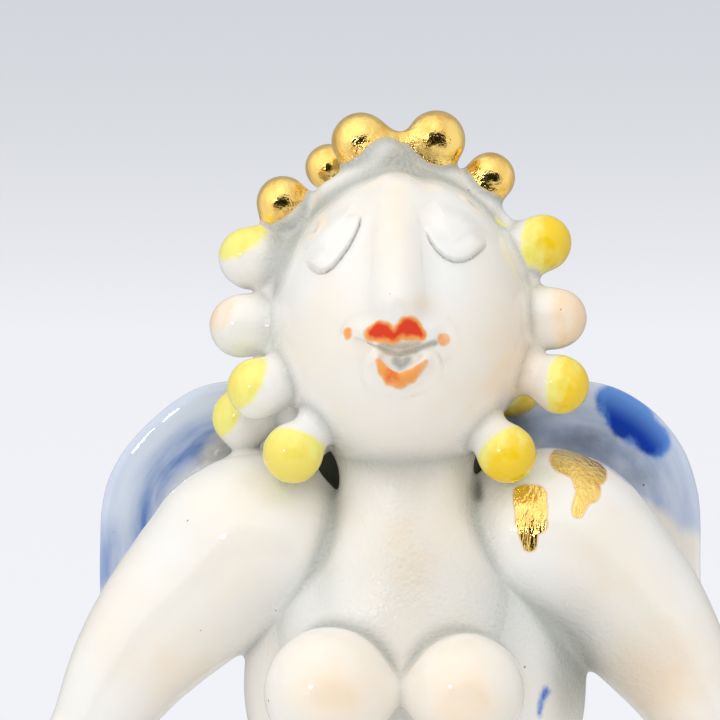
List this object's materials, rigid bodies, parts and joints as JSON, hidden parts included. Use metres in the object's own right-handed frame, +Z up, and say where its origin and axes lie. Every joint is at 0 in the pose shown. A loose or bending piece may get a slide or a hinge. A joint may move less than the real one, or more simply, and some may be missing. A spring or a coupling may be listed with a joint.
{
  "type": "porcelain angel figurine",
  "caption": "Hand-built glazed porcelain angel with ball curls, tilted face, closed eyes, small round wings, hands on hips and a hollow bell gown.",
  "frame": {"origin": "on the floor plane under the gown, at the middle of the footprint", "axes": "+Z up, the figure faces -Y, +X to the right of someone who looks at its face"},
  "size_m": [0.091, 0.091, 0.1684],
  "materials": {
    "porcelain": "clear high-gloss glaze over warm white porcelain with small iron specks",
    "gown_glaze": "clear high-gloss glaze with small blue comma strokes and a pale blue hem wash",
    "blushed_porcelain": "clear high-gloss glaze over white porcelain with a peach blush",
    "cobalt_wash": "clear high-gloss glaze over a cobalt blue wash on white porcelain",
    "yellow_glaze": "clear high-gloss glaze, the ball's outer side brushed lemon yellow",
    "peach_glaze": "clear high-gloss glaze with a peach brush stroke",
    "gold_lustre": "mirror-bright fired gold lustre, a film over the glaze",
    "coral_glaze": "clear high-gloss glaze over orange-red overglaze colour"
  },
  "bodies": {
    "root": {"gown": "gown_glaze", "trunk": "porcelain", "neck_and_chest": "blushed_porcelain", "bust_left": "blushed_porcelain", "bust_right": "blushed_porcelain", "upper_arm_left": "blushed_porcelain", "upper_arm_right": "blushed_porcelain", "forearm_left": "blushed_porcelain", "forearm_right": "blushed_porcelain", "hand_left": "blushed_porcelain", "hand_right": "blushed_porcelain", "wing_left": "cobalt_wash", "wing_right": "cobalt_wash", "face": "blushed_porcelain", "skull": "porcelain", "nose": "blushed_porcelain", "eyelid_left": "blushed_porcelain", "eyelid_right": "blushed_porcelain", "upper_lip": "coral_glaze", "lower_lip": "coral_glaze", "curl_gold_1": "gold_lustre", "curl_gold_2": "gold_lustre", "curl_gold_3": "gold_lustre", "curl_gold_4": "gold_lustre", "curl_gold_5": "gold_lustre", "curl_yellow_1": "yellow_glaze", "curl_yellow_2": "yellow_glaze", "curl_yellow_3": "yellow_glaze", "curl_yellow_4": "yellow_glaze", "curl_yellow_5": "yellow_glaze", "curl_yellow_6": "yellow_glaze", "curl_yellow_7": "yellow_glaze", "curl_peach_1": "peach_glaze", "curl_peach_2": "peach_glaze", "curl_back_1": "peach_glaze", "curl_back_2": "yellow_glaze", "curl_back_3": "gold_lustre", "curl_back_4": "gold_lustre", "curl_back_5": "gold_lustre", "curl_back_6": "yellow_glaze", "curl_back_7": "peach_glaze", "curl_back_8": "yellow_glaze", "curl_back_9": "yellow_glaze", "curl_back_10": "yellow_glaze", "curl_back_11": "gold_lustre", "curl_back_12": "yellow_glaze", "curl_back_13": "yellow_glaze", "curl_back_14": "yellow_glaze", "curl_back_15": "yellow_glaze"}
  },
  "joints": []
}
